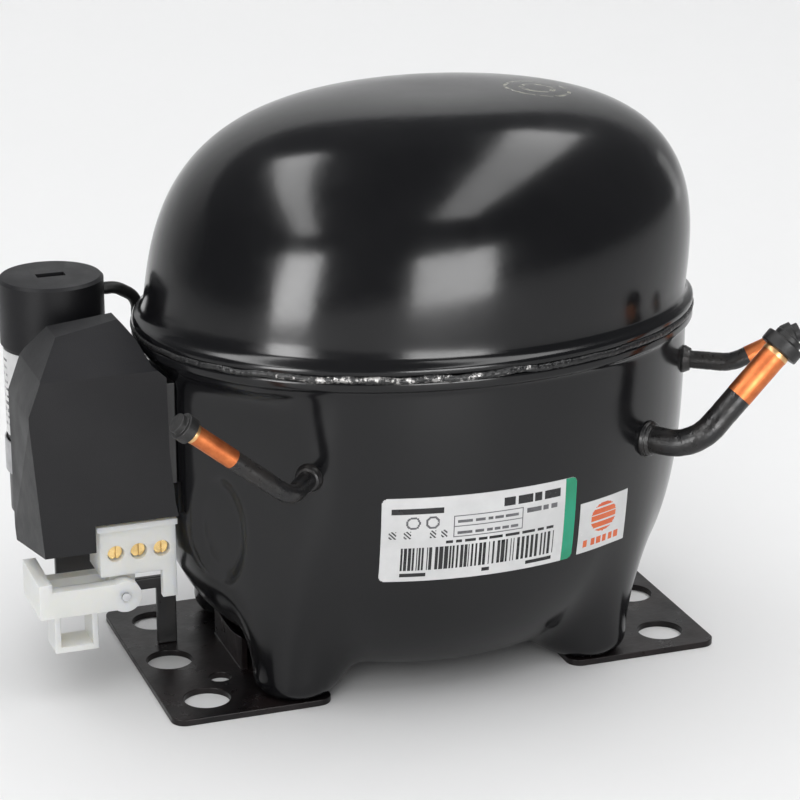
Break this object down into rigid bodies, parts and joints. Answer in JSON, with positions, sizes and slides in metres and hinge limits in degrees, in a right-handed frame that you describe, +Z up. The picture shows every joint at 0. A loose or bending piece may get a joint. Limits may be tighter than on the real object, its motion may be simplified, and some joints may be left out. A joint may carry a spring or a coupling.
{
  "type": "hermetic reciprocating compressor",
  "caption": "Sealed oval refrigerator compressor on bolt-down feet, with bent tubes, a terminal box, a capacitor and a sprung motor-driven piston pump inside.",
  "frame": {"origin": "ground plane under the feet, at the middle of the four outer foot holes", "axes": "+X towards the suction tube, -X towards the terminal box, -Y towards the label side, +Z up along the crankshaft"},
  "size_m": [0.2685, 0.1618, 0.2002],
  "materials": {
    "shell_paint": "gloss",
    "weld_steel": "rough",
    "foot_paint": "satin",
    "tube_paint": "satin",
    "copper": "satin",
    "plug_rubber": "satin",
    "steel": "satin",
    "terminal_glass": "gloss",
    "bracket_paint": "satin",
    "black_plastic": "satin",
    "can_plastic": "gloss",
    "nylon": "satin",
    "brass": "satin",
    "label_film": "gloss",
    "laminations": "matte",
    "grey_iron": "matte",
    "cast_aluminium": "satin"
  },
  "bodies": {
    "shell": {"lower_housing": "shell_paint", "upper_housing": "shell_paint", "weld_seam": "weld_steel", "left_foot": "foot_paint", "right_foot": "foot_paint", "suction_tube": "tube_paint", "suction_tail": "copper", "discharge_tube": "tube_paint", "discharge_tail": "copper", "process_tube": "tube_paint", "process_tail": "copper", "terminal_body": "steel", "terminal_glass": "terminal_glass", "terminal_pins": "steel", "terminal_fence": "bracket_paint", "start_relay": "black_plastic", "overload_protector": "black_plastic", "terminal_cover": "black_plastic", "terminal_board": "nylon", "board_screws": "brass", "clamp_pin": "steel", "capacitor_bracket": "bracket_paint", "capacitor_can": "can_plastic", "capacitor_cap": "black_plastic", "capacitor_tabs": "brass", "capacitor_clip": "steel", "capacitor_label": "label_film", "capacitor_lead": "plug_rubber", "rating_label": "label_film", "refrigerant_label": "label_film", "spring_seats": "steel", "suspension_springs": "steel", "motor_plug": "nylon"},
    "pump_kit": {"spring_pegs": "nylon", "stator_core": "laminations", "upper_winding": "copper", "lower_winding": "copper", "stator_bolts": "steel", "crankcase": "grey_iron", "thrust_washer": "steel", "valve_plate": "steel", "cylinder_head": "cast_aluminium", "head_bolts": "steel", "suction_muffler": "nylon", "discharge_loop": "copper"},
    "crank_assembly": {"crankshaft": "grey_iron", "counterweight": "steel", "rotor_core": "laminations", "rotor_cage": "cast_aluminium", "oil_pickup": "steel"},
    "piston_assembly": {"piston": "grey_iron", "wrist_pin": "steel"},
    "rod_assembly": {"connecting_rod": "cast_aluminium", "crank_pin": "steel"},
    "suction_reed": {"suction_reed": "steel"},
    "discharge_reed": {"discharge_reed": "steel"},
    "cord_clamp": {"cord_clamp": "nylon"},
    "suction_plug": {"suction_plug": "plug_rubber"},
    "discharge_plug": {"discharge_plug": "plug_rubber"},
    "process_plug": {"process_plug": "plug_rubber"}
  },
  "joints": [
    {"name": "pump_bounce", "type": "slide", "parent": "shell", "child": "pump_kit", "axis": [0, 0, 1], "range_m": [-0.003, 0.003], "stiffness_N_per_m": 28000, "springref_m": 0.0018, "deforming": ["suspension_springs", "discharge_loop", "motor_plug"]},
    {"name": "crank_turn", "type": "hinge", "parent": "pump_kit", "child": "crank_assembly", "pos_m": [-0.004, -0.0015, 0.09], "axis": [0, 0, 1], "continuous": true},
    {"name": "piston_stroke", "type": "slide", "parent": "pump_kit", "child": "piston_assembly", "axis": [1, 0, 0], "range_m": [-0.0186, 0]},
    {"name": "rod_swing", "type": "hinge", "parent": "piston_assembly", "child": "rod_assembly", "pos_m": [0.0433, -0.0015, 0.138], "axis": [0, 0, 1], "range_deg": [-14, 14]},
    {"name": "suction_valve", "type": "hinge", "parent": "pump_kit", "child": "suction_reed", "pos_m": [0.0572, -0.0015, 0.1275], "axis": [0, 1, 0], "range_deg": [-4, 0], "stiffness_Nm_per_rad": 0.01},
    {"name": "discharge_valve", "type": "hinge", "parent": "pump_kit", "child": "discharge_reed", "pos_m": [0.0594, -0.0015, 0.1394], "axis": [0, 1, 0], "range_deg": [-5, 0], "stiffness_Nm_per_rad": 0.01},
    {"name": "clamp_turn", "type": "hinge", "parent": "shell", "child": "cord_clamp", "pos_m": [-0.1088, -0.013, 0.0378], "axis": [0, 1, 0], "range_deg": [-60, 0]},
    {"name": "suction_pull", "type": "slide", "parent": "shell", "child": "suction_plug", "axis": [0.6893, -0.0117, 0.7244], "range_m": [0, 0.02]},
    {"name": "discharge_pull", "type": "slide", "parent": "shell", "child": "discharge_plug", "axis": [-0.7704, -0.0805, 0.6324], "range_m": [0, 0.02]},
    {"name": "process_pull", "type": "slide", "parent": "shell", "child": "process_plug", "axis": [0.8701, -0.2536, 0.4226], "range_m": [0, 0.02]}
  ]
}
